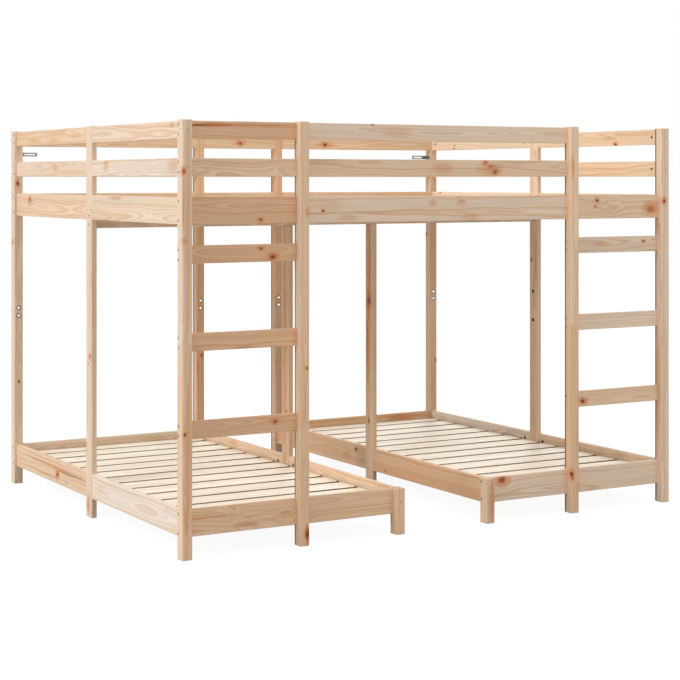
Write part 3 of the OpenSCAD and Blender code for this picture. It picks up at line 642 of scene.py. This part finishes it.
pine("left_guard_rails", "yzx", ("milk", "straw", "straw", "honey"), seed=99.0, own_knots=0.0, ends=nut_ends,
     knots=[(left_x, 0.44, 1.625, 0.009, 0.1)],
     streaks=[(left_x, 0.747, 1.764, 0.12, 0.014, 0.9, "ochre"), (left_x, -0.924, 1.798, 0.03, 0.012, 0.7),
              (left_x, 0.469, 1.761, 0.08, 0.014, 0.9, "ochre"), (left_x, -0.202, 1.632, 0.045, 0.03, 0.6),
              (left_x, 0.163, 1.779, 0.08, 0.016, 0.8, "ochre"), (left_x, -0.943, 1.627, 0.07, 0.036, 0.5),
              (left_x, 0.44, 1.625, 0.06, 0.02, 0.7, "ochre")])
pine("left_bed_rails", "yzx", ("straw", "honey"), seed=101.0, own_knots=0.0, ends=nut_ends,
     knots=[(left_x, 0.806, 1.468, 0.011, 0.6)],
     streaks=[(left_x, 0.806, 1.465, 0.05, 0.03, 0.5), (left_x, -0.315, 1.488, 0.1, 0.01, 0.7)])
pine("right_guard_rails", "yzx", ("honey", "wheat", "wheat", "straw"), seed=103.0, own_knots=0.0,
     ends=nut_ends,
     knots=[(right_x, 0.762, 1.766, 0.005), (right_x, 0.773, 1.748, 0.005), (right_x, 0.089, 1.771, 0.006),
            (right_x, -0.691, 1.748, 0.011)],
     streaks=[(right_x, -0.634, 1.778, 0.07, 0.014, 0.5), (right_x, -0.6, 1.62, 0.4, 0.012, 0.3)])
pine("right_bed_rails", "yzx", ("honey", "pale"), seed=105.0, own_knots=0.0, ends=nut_ends,
     knots=[(right_x, 0.917, 1.494, 0.006)])

# Rungs: short bars of pine, as high and thick as the guard rails, three between a corner post and its
# ladder post on each side. Screws through the posts' faces hold them.
pine("left_ladder_rungs", "xzy", ("copper", "copper", "copper"), seed=107.0, own_knots=0.0,
     knots=[(-0.854, front_y, 0.54, 0.009), (-0.923, front_y, 1.279, 0.008), (-0.865, front_y, 1.241, 0.012)],
     streaks=[(-0.998, front_y, 0.862, 0.07, 0.01, 0.7), (-0.865, front_y, 1.245, 0.04, 0.02, 0.5)])
pine("right_ladder_rungs", "xzy", ("wheat", "pale", "straw"), seed=109.0, own_knots=0.0,
     knots=[(0.795, front_y, 0.52, 0.013), (1.164, front_y, 1.272, 0.008)],
     streaks=[(0.908, front_y, 1.263, 0.07, 0.014, 0.6), (0.795, front_y, 0.52, 0.04, 0.02, 0.5)])

# Rails of the lower beds: deep boards of the same pine close to the floor, screwed between their posts and
# legs in front and behind, and bolted along both sides of each bed, with wider rings of painted shade
# round the nuts.
# Wider rings of painted shade round the nuts' ends
low_nut_ends = ("barrel_nuts", 0.0085, 1.0)
pine("left_bed_front_rails", "xzy", ("barley", "barley"), seed=111.0, own_knots=0.0,
     knots=[(-0.986, front_y, 0.118, 0.030, 0.0), (-0.80, front_y, 0.135, 0.022, 0.0),
            (-1.08, front_y, 0.195, 0.026, 0.0)],
     streaks=[(-0.985, front_y, 0.118, 0.07, 0.016, 0.5), (-0.803, front_y, 0.140, 0.08, 0.018, 0.5),
              (-1.17, front_y, 0.163, 0.16, 0.006, 0.9), (-1.16, front_y, 0.176, 0.12, 0.004, 0.7),
              (-0.93, front_y, 0.150, 0.09, 0.005, 0.6)])
pine("left_bed_back_rail", "xzy", ("milk",), seed=113.0, own_knots=0.4)
pine("left_bed_outer_rails", "yzx", ("chalk", "honey"), seed=115.0, own_knots=0.0, ends=low_nut_ends,
     knots=[(left_x, 0.414, 0.136, 0.013)],
     streaks=[(left_x, 0.414, 0.138, 0.03, 0.03, 0.9), (left_x, 0.52, 0.168, 0.5, 0.007, 1.1),
              (left_x, 0.25, 0.158, 0.25, 0.005, 1.2, "resin"), (left_x, 0.6, 0.118, 0.4, 0.006, 0.7),
              (left_x, 0.55, 0.19, 0.4, 0.004, 0.7), (left_x, -0.131, 0.151, 0.08, 0.03, 0.5, "ochre"),
              (left_x, -0.156, 0.191, 0.02, 0.008, 0.4), (left_x, -0.21, 0.123, 0.02, 0.008, 0.4),
              (left_x, -0.877, 0.183, 0.03, 0.008, 0.4), (left_x, -0.943, 0.114, 0.03, 0.008, 0.4)])
pine("left_bed_inner_rails", "yzx", ("wheat",), seed=117.0, own_knots=0.4, ends=low_nut_ends,
     streaks=[(-0.253, 0.589, 0.19, 0.07, 0.02, 0.5)])
pine("right_bed_front_rails", "xzy", ("pale", "pale"), seed=119.0, own_knots=0.0,
     knots=[(0.326, front_y, 0.187, 0.020, 0.8)], streaks=[(0.326, front_y, 0.18, 0.06, 0.03, 0.5)])
pine("right_bed_back_rail", "xzy", ("amber",), seed=121.0, own_knots=0.3,
     streaks=[(1.05, back_y, 0.18, 0.12, 0.02, 0.7)])
pine("right_bed_outer_rails", "yzx", ("straw", "chalk"), seed=123.0, own_knots=0.3, ends=low_nut_ends)
pine("right_bed_inner_rails", "yzx", ("amber",), seed=125.0, own_knots=0.3, ends=low_nut_ends,
     knots=[(0.231, 0.131, 0.178, 0.011), (0.231, -0.153, 0.109, 0.006)],
     streaks=[(0.231, 0.226, 0.134, 0.06, 0.03, 0.4)])

# Battens: plain strips of pale pine, screwed along the inside of the lower beds' side rails and of
# the deck's front and back rails, where the slats lie on them out of sight.
pine("lower_battens", "yzx", ("pale",), seed=7.0, own_knots=0.5)
pine("deck_battens", "xzy", ("pale",), seed=8.0, own_knots=0.5)

# Slats: flat bars of pale pine with eased edges and rounded corners, lying loose across the battens a
# little unevenly. Their sawn edges are browner, with painted shade in the gaps that deepens toward one end.
def shape_tree(name, takes):
    """An empty tree of geometry nodes with named inputs, and the node that holds them."""
    return node_group(name, {"Geometry": "Geometry", **takes}, {"Geometry": "Geometry"}, "GeometryNodeTree")


def shape_node(tree, kind, inputs=(), **settings):
    """The first output of a new node."""
    return add_node(tree, kind, inputs, **settings).outputs[0]


def make_slat(tree, given, width):
    """One slat along X: an eased outline drawn through stations that narrow round the corners at each end."""
    stations = 12
    edge_points = 3
    outline = shape_node(tree, "GeometryNodeCurvePrimitiveQuadrilateral",
                         {"Width": width, "Height": given["Thickness"]})
    eased = shape_node(tree, "GeometryNodeFilletCurve",
                       {"Curve": outline, "Count": edge_points, "Radius": given["Edge"]}, mode="POLY")
    line = shape_node(tree, "GeometryNodeCurvePrimitiveLine", {"Start": (-1, 0, 0), "End": (1, 0, 0)})
    steps = shape_node(tree, "GeometryNodeResampleCurve", {"Curve": line, "Count": stations})
    bar = shape_node(tree, "GeometryNodeCurveToMesh",
                     {"Curve": steps, "Profile Curve": eased, "Fill Caps": True})
    # Half of the stations crowd together at each end, as steps round its two corners
    own = split(tree, shape_node(tree, "GeometryNodeInputPosition"))
    inmost = 1.0 / (stations - 1)
    turn = calc(tree, "MULTIPLY", calc(tree, "SUBTRACT", calc(tree, "ABSOLUTE", own[0]), inmost),
                math.pi / 2 / (1 - inmost))
    back = calc(tree, "MULTIPLY", calc(tree, "SUBTRACT", 1.0, calc(tree, "SINE", turn)), given["Corner"])
    inset = calc(tree, "MULTIPLY", calc(tree, "SUBTRACT", 1.0, calc(tree, "COSINE", turn)), given["Corner"])
    half = calc(tree, "MULTIPLY", given["Length"], 0.5)
    along = calc(tree, "MULTIPLY", calc(tree, "SIGN", own[0]), calc(tree, "SUBTRACT", half, back))
    narrowed = calc(tree, "SUBTRACT", 1.0, calc(tree, "DIVIDE", calc(tree, "MULTIPLY", inset, 2.0), width))
    spot = join(tree, along, calc(tree, "MULTIPLY", own[1], narrowed), own[2])
    bar = shape_node(tree, "GeometryNodeSetPosition", {"Geometry": bar, "Position": spot})
    place = shape_node(tree, "GeometryNodeInputPosition")
    return shape_node(tree, "GeometryNodeStoreNamedAttribute",
                      {"Geometry": bar, "Name": "grain", "Value": place},
                      data_type="FLOAT_VECTOR", domain="POINT")


def make_slats():
    """A row of full slats with one more at each end, each laid a little off its place."""
    tree, given = shape_tree("slats", {
        "Width": "Float", "End Width": "Float", "Thickness": "Float", "Length": "Float", "Edge": "Float",
        "Corner": "Float", "Count": "Int", "Pitch": "Float", "End Place": "Float", "Unevenness": "Float",
        "Middle": "Vector", "Turn": "Float", "Material": "Material"})
    first = calc(tree, "MULTIPLY", calc(tree, "SUBTRACT", given["Count"], 1.0),
                 calc(tree, "MULTIPLY", given["Pitch"], -0.5))
    row = shape_node(tree, "GeometryNodeMeshLine", {
        "Count": given["Count"], "Start Location": join(tree, 0.0, first),
        "Offset": join(tree, 0.0, given["Pitch"])})
    ends = shape_node(tree, "GeometryNodeMeshLine", {
        "Count": 2, "Start Location": join(tree, 0.0, calc(tree, "MULTIPLY", given["End Place"], -1.0)),
        "Offset": join(tree, 0.0, calc(tree, "MULTIPLY", given["End Place"], 2.0))})
    laid = add_node(tree, "GeometryNodeJoinGeometry")
    for points, width in ((row, given["Width"]), (ends, given["End Width"])):
        bars = shape_node(tree, "GeometryNodeInstanceOnPoints",
                          {"Points": points, "Instance": make_slat(tree, given, width)})
        tree.links.new(bars, laid.inputs[0])
    shift = shape_node(tree, "FunctionNodeRandomValue", {"Min": (-1, -1, 0), "Max": (1, 1, 0), "Seed": 4},
                       data_type="FLOAT_VECTOR")
    moved = shape_node(tree, "GeometryNodeTranslateInstances",
                       {"Instances": laid.outputs[0], "Translation": scale(tree, shift, given["Unevenness"])})
    index = shape_node(tree, "GeometryNodeInputIndex")
    numbered = shape_node(tree, "GeometryNodeStoreNamedAttribute",
                          {"Geometry": moved, "Name": "board", "Value": index},
                          data_type="FLOAT", domain="INSTANCE")
    real = shape_node(tree, "GeometryNodeRealizeInstances", {0: numbered})
    placed = shape_node(tree, "GeometryNodeTransform", {
        "Geometry": real, "Translation": given["Middle"], "Rotation": join(tree, 0.0, 0.0, given["Turn"])})
    planed = shape_node(tree, "GeometryNodeSetMaterial", {"Geometry": placed, "Material": given["Material"]})
    add_node(tree, "NodeGroupOutput", {0: planed})
    return tree


def grown_mesh(name, tree, sizes, points=((0, 0, 0),), attributes=()):
    """Runs a tree on a mesh of points and keeps what it makes as a plain mesh in a new object."""
    start = bpy.data.meshes.new(name)
    start.from_pydata([tuple(p) for p in points], [], [])
    for title, values in dict(attributes).items():
        kept = start.attributes.new(title, "FLOAT_VECTOR", "POINT")
        kept.data.foreach_set("vector", np.array(values, np.float32).ravel())
    piece = bpy.data.objects.new(name, start)
    bpy.context.scene.collection.objects.link(piece)
    maker = piece.modifiers.new(name, "NODES")
    maker.node_group = tree
    for item in tree.interface.items_tree:
        if item.in_out == "INPUT" and item.name in sizes:
            maker[item.identifier] = sizes[item.name]
    graph = bpy.context.evaluated_depsgraph_get()
    made = bpy.data.meshes.new_from_object(piece.evaluated_get(graph), depsgraph=graph)
    piece.modifiers.remove(maker)
    piece.data = made
    return piece


# Sawn edges: browner wood together with painted shade in the gaps, and deeper painted shade toward one end
sawn_brown_and_gap_shade = (0.50, 0.48, 0.45, 1)
deep_gap_shade = (0.20, 0.18, 0.17, 1)
slat_tone = (1.26, 1.52, 1.74, 1)
slat_pine = new_material("slat pine")
slat_tree = slat_pine.node_tree
slat_number = add_node(slat_tree, "ShaderNodeAttribute", attribute_name="board").outputs["Fac"]
slat_place = add_node(slat_tree, "ShaderNodeAttribute", attribute_name="grain").outputs["Vector"]
slat_face = split(slat_tree, add_node(slat_tree, "ShaderNodeTexCoord").outputs["Normal"])[2]
sawn = ease(slat_tree, calc(slat_tree, "ABSOLUTE", slat_face), 0.75, 0.25)
# Painted shade deepens toward one end of each slat
deep_shade_share = ease(slat_tree, split(slat_tree, slat_place)[0], 0.12, 0.32)
finish_wood(slat_tree, {
    "Point": slat_place, "Seed": calc(slat_tree, "MULTIPLY_ADD", slat_number, 1.91, 3.0),
    "Tint": mix(slat_tree, sawn, slat_tone, mix(slat_tree, deep_shade_share, sawn_brown_and_gap_shade, deep_gap_shade)),
    "Knots": 0.5, "Rim": 1.0})

slats = make_slats()
slat_w = 0.133
slat_gap = 0.028
bed_count = 11
deck_count = 15
slat_sizes = {"Width": slat_w, "Thickness": 0.018, "Edge": 0.0015, "Corner": 0.034, "Unevenness": 0.001,
              "Material": slat_pine}
for bed in ("left_bed_slats", "right_bed_slats"):
    low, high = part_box(bed)
    end_w = (high.y - low.y - bed_count * slat_w - (bed_count + 1) * slat_gap) / 2
    piece = grown_mesh(bed.replace("slats", "slat_rows"), slats, {
        **slat_sizes, "End Width": end_w, "Length": high.x - low.x, "Count": bed_count,
        "Pitch": slat_w + slat_gap, "End Place": high.y - end_w / 2,
        "Middle": ((low.x + high.x) / 2, 0, (low.z + high.z) / 2), "Turn": 0.0})
    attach(piece, "root")
    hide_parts(bed)
for half in ("deck_front_slats", "deck_back_slats"):
    low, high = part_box(half)
    piece = grown_mesh(half.replace("slats", "slat_row"), slats, {
        **slat_sizes, "End Width": slat_w, "Length": high.y - low.y, "Count": deck_count - 2,
        "Pitch": (high.x - low.x - slat_w) / (deck_count - 1), "End Place": high.x - slat_w / 2,
        "Middle": (0, (low.y + high.y) / 2, (low.z + high.z) / 2), "Turn": math.pi / 2})
    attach(piece, "root")
    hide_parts(half)

# Screws and bolts: zinc plated steel with flat round heads and hexagon sockets in painted shade, turned
# home until the head is flush in its counterbore. Screws join the rails' ends to the posts' sides, bolts
# the side rails.
def heads_and_ways(name):
    """Where each screw's head is flush, which way the screw points, and how long it is."""
    flush = 0.0005
    found = []
    for corners in solids(name):
        low, high = corners.min(0), corners.max(0)
        axis = int(np.argmax(high - low))
        sides = [i for i in range(3) if i != axis]
        middle = (low + high) / 2
        wide = [np.abs(corners[np.abs(corners[:, axis] - end[axis]) < flush] - middle)[:, sides].max()
                for end in (low, high)]
        top, way = (low, 1.0) if wide[0] > wide[1] else (high, -1.0)
        place, point = middle.copy(), np.zeros(3)
        place[axis], point[axis] = top[axis], way
        found.append((place, point, high[axis] - low[axis]))
    return found


def by_ring(tree, ring, values):
    """The value that belongs to a ring, counted from the socket's floor."""
    pick = add_node(tree, "GeometryNodeIndexSwitch", data_type="FLOAT")
    while len(pick.index_switch_items) < len(values):
        pick.index_switch_items.new()
    return plug(tree, pick, {0: ring, **{i + 1: value for i, value in enumerate(values)}}).outputs[0]


def make_socket_screw():
    """A turned screw on every point: rings of corners from the socket's floor over the head to the tip."""
    tree, given = shape_tree("socket screws", {
        "Head Width": "Float", "Head Height": "Float", "Shank Width": "Float", "Length": "Float",
        "Socket Width": "Float", "Socket Depth": "Float", "Sides": "Int", "Material": "Material"})
    sector = math.tau / 6
    head = calc(tree, "MULTIPLY", given["Head Width"], 0.5)
    shank = calc(tree, "MULTIPLY", given["Shank Width"], 0.5)
    at = split(tree, shape_node(tree, "GeometryNodeInputPosition"))
    angle = calc(tree, "MULTIPLY", calc(tree, "ADD", at[0], 0.5), math.tau)
    turn = calc(tree, "SUBTRACT", calc(tree, "MODULO", angle, sector), sector / 2)
    flat = calc(tree, "MULTIPLY", given["Socket Width"], 0.5)
    flat = calc(tree, "DIVIDE", flat, calc(tree, "COSINE", turn))
    # Radius and depth of each ring: floor, wall and mouth of the socket, then the head, the shank and its tip
    socket_rings = [(0.0, given["Socket Depth"]), (flat, given["Socket Depth"]), (flat, 0.0003)]
    profile = [*socket_rings, (calc(tree, "ADD", flat, 0.0004), -0.0001),
               (calc(tree, "MULTIPLY", head, 0.74), 0.0), (calc(tree, "MULTIPLY", head, 0.82), 0.0002),
               (head, 0.0012), (head, given["Head Height"]), (shank, given["Head Height"]),
               (shank, given["Length"]), (0.0, given["Length"])]
    # A sheet with a column for each side and a row for each ring is rolled up into the screw
    columns = calc(tree, "ADD", given["Sides"], 1.0)
    sheet = shape_node(tree, "GeometryNodeMeshGrid",
                       {"Size X": 1.0, "Size Y": 1.0, "Vertices X": columns, "Vertices Y": len(profile)})
    ring = calc(tree, "ROUND", calc(tree, "MULTIPLY", calc(tree, "ADD", at[1], 0.5), len(profile) - 1.0))
    radius, depth = (by_ring(tree, ring, values) for values in zip(*profile))
    spot = join(tree, calc(tree, "MULTIPLY", radius, calc(tree, "COSINE", angle)),
                calc(tree, "MULTIPLY", radius, calc(tree, "SINE", angle)), depth)
    in_socket = calc(tree, "LESS_THAN", ring, len(socket_rings) - 0.5)
    recess = shape_node(tree, "GeometryNodeStoreNamedAttribute",
                        {"Geometry": sheet, "Name": "recess", "Value": in_socket},
                        data_type="FLOAT", domain="POINT")
    bent = shape_node(tree, "GeometryNodeSetPosition", {"Geometry": recess, "Position": spot})
    closed = shape_node(tree, "GeometryNodeMergeByDistance", {"Geometry": bent, "Distance": 1e-5})
    sharp = calc(tree, "GREATER_THAN", shape_node(tree, "GeometryNodeInputMeshEdgeAngle"), 0.7)
    crisp = shape_node(tree, "GeometryNodeSetShadeSmooth",
                       {"Geometry": closed, "Selection": sharp, "Shade Smooth": False}, domain="EDGE")
    way = shape_node(tree, "GeometryNodeInputNamedAttribute", {"Name": "way"}, data_type="FLOAT_VECTOR")
    aim = shape_node(tree, "FunctionNodeAlignRotationToVector", {"Vector": way}, axis="Z")
    driven = shape_node(tree, "GeometryNodeInstanceOnPoints",
                        {"Points": given["Geometry"], "Instance": crisp, "Rotation": aim})
    real = shape_node(tree, "GeometryNodeRealizeInstances", {0: driven})
    plated = shape_node(tree, "GeometryNodeSetMaterial", {"Geometry": real, "Material": given["Material"]})
    add_node(tree, "NodeGroupOutput", {0: plated})
    return tree


def steel(name, bright, rough, painted_socket_shade=False):
    """Zinc plated steel with a fine crystal grain, with painted shade in the sockets where asked."""
    made = new_material(name)
    tree = made.node_tree
    seen = add_node(tree, "ShaderNodeTexCoord").outputs["Object"]
    worn = add_node(tree, "ShaderNodeTexNoise", {"Vector": seen, "Scale": 400.0, "Detail": 2.0}).outputs[0]
    spread = calc(tree, "MULTIPLY_ADD", worn, 0.18, rough - 0.09)
    colour = mix(tree, worn, srgb(bright, bright, bright - 2), srgb(bright + 22, bright + 21, bright + 16))
    if painted_socket_shade:
        # Painted shade: the socket's rings near black
        recess = add_node(tree, "ShaderNodeAttribute", attribute_name="recess").outputs["Fac"]
        colour = mix(tree, ease(tree, recess, 0.3, 0.7), colour, srgb(30, 27, 27))
    relief = add_node(tree, "ShaderNodeBump", {"Strength": 0.1, "Distance": 0.0001, "Height": worn})
    surface = add_node(tree, "ShaderNodeBsdfPrincipled", {
        "Base Color": colour, "Metallic": 1.0, "Roughness": spread, "Normal": relief.outputs[0]})
    add_node(tree, "ShaderNodeOutputMaterial", {0: surface.outputs[0]})
    return made


socket_screw = make_socket_screw()
head_sizes = {"Head Width": 0.011, "Head Height": 0.003, "Socket Depth": 0.0024, "Sides": 18}
screw_steel = steel("zinc plated screw head", 165, 0.42, painted_socket_shade=True)
bolt_steel = steel("bright zinc bolt head", 190, 0.38, painted_socket_shade=True)
for node_name, title, shank, socket, metal in (
        ("connecting_screws", "connecting_socket_screws", 0.007, 0.0056, screw_steel),
        ("barrel_bolts", "barrel_socket_bolts", 0.006, 0.0046, bolt_steel)):
    found = heads_and_ways(node_name)
    piece = grown_mesh(title, socket_screw, {
        **head_sizes, "Shank Width": shank, "Length": found[0][2], "Socket Width": socket, "Material": metal},
        [place for place, _, _ in found], {"way": [way for _, way, _ in found]})
    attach(piece, "root")
    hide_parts(node_name)

# Small joinery: studs, rods, barrel nuts and cams turned from steel, brackets pressed from strip, and wood
# screws, plated or blackened, with the dowels and loose tongues of plain hardwood. Each sits in its own
# bore or slot, most of them out of sight.
for title, bright, rough, names in (("zinc plated steel", 150, 0.4, ("joining_studs", "tie_rods")),
                                    ("blackened steel nuts", 52, 0.5, ("barrel_nuts",)),
                                    ("polished zinc cams", 228, 0.3, ("joint_cams",)),
                                    ("grey plated brackets", 138, 0.42, ("wall_brackets", "wood_screws"))):
    made = steel(title, bright, rough)
    for name in names:
        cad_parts[name].material_slots[0].material = made
pine("dowels", "zxy", ("honey",), seed=5.0, own_knots=0.0)
pine("board_tongues", "zyx", ("honey",), seed=6.0, own_knots=0.0)
